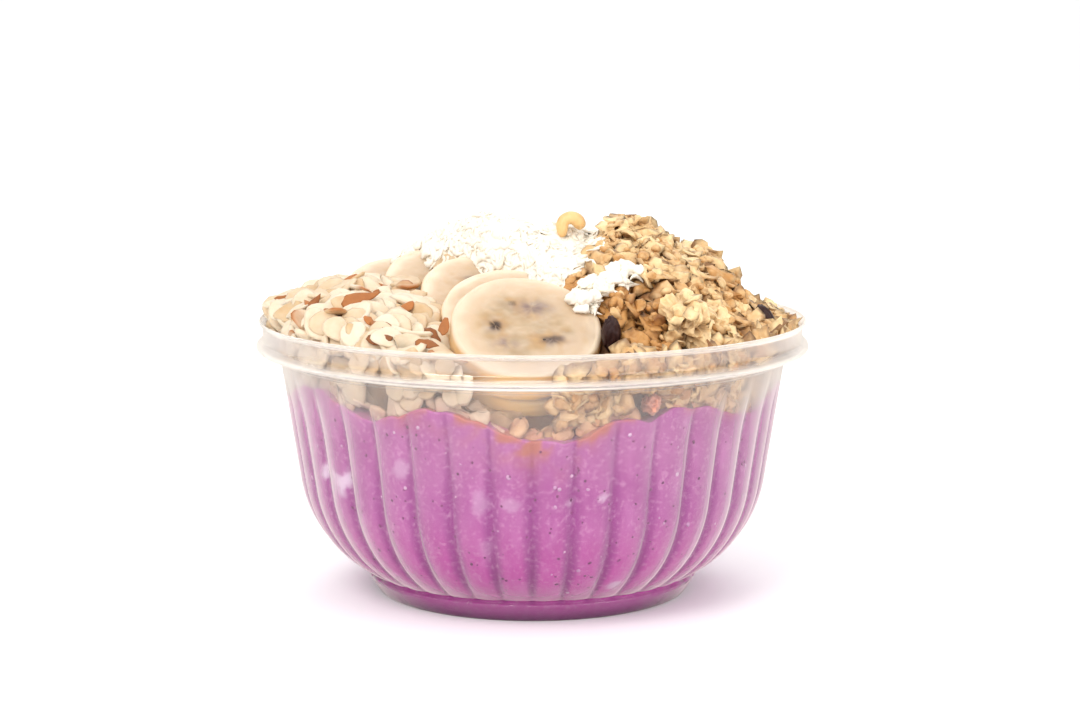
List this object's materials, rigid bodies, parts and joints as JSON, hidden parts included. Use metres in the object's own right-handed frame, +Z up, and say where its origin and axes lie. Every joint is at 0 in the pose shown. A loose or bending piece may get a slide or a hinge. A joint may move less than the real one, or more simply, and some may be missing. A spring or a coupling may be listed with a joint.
{
  "type": "dragon fruit bowl",
  "caption": "Clear fluted plastic bowl of pink dragon fruit smoothie, topped with flaked almonds, fanned banana slices, shredded coconut and granola.",
  "frame": {"origin": "middle of the bowl's foot, on the surface that it stands on", "axes": "+Z up; -Y towards the side with the front banana slice; +X towards the granola"},
  "size_m": [0.1416, 0.142, 0.098],
  "materials": {
    "clear_plastic": "clear thermoformed plastic, glossy",
    "pink_smoothie": "thick smooth fruit puree with tiny black seeds, slightly glossy",
    "flaked_almond": "dry flaked almonds, cream with brown skin edges",
    "shredded_coconut": "dry white shreds",
    "toasted_granola": "toasted oat clusters, golden, with a thin glaze",
    "banana_flesh": "moist cut flesh, satin, with dark seed specks",
    "roasted_nut": "roasted cashew, satin",
    "raisin_skin": "wrinkled, satin"
  },
  "bodies": {
    "root": {"bowl": "clear_plastic", "smoothie": "pink_smoothie", "almond_heap": "flaked_almond", "coconut_heap": "shredded_coconut", "granola_heap": "toasted_granola", "banana_slice_1": "banana_flesh", "banana_slice_2": "banana_flesh", "banana_slice_3": "banana_flesh", "banana_slice_4": "banana_flesh", "banana_slice_5": "banana_flesh", "banana_slice_under": "banana_flesh", "raisin_front": "raisin_skin", "raisin_right": "raisin_skin", "cashew": "roasted_nut"}
  },
  "joints": []
}
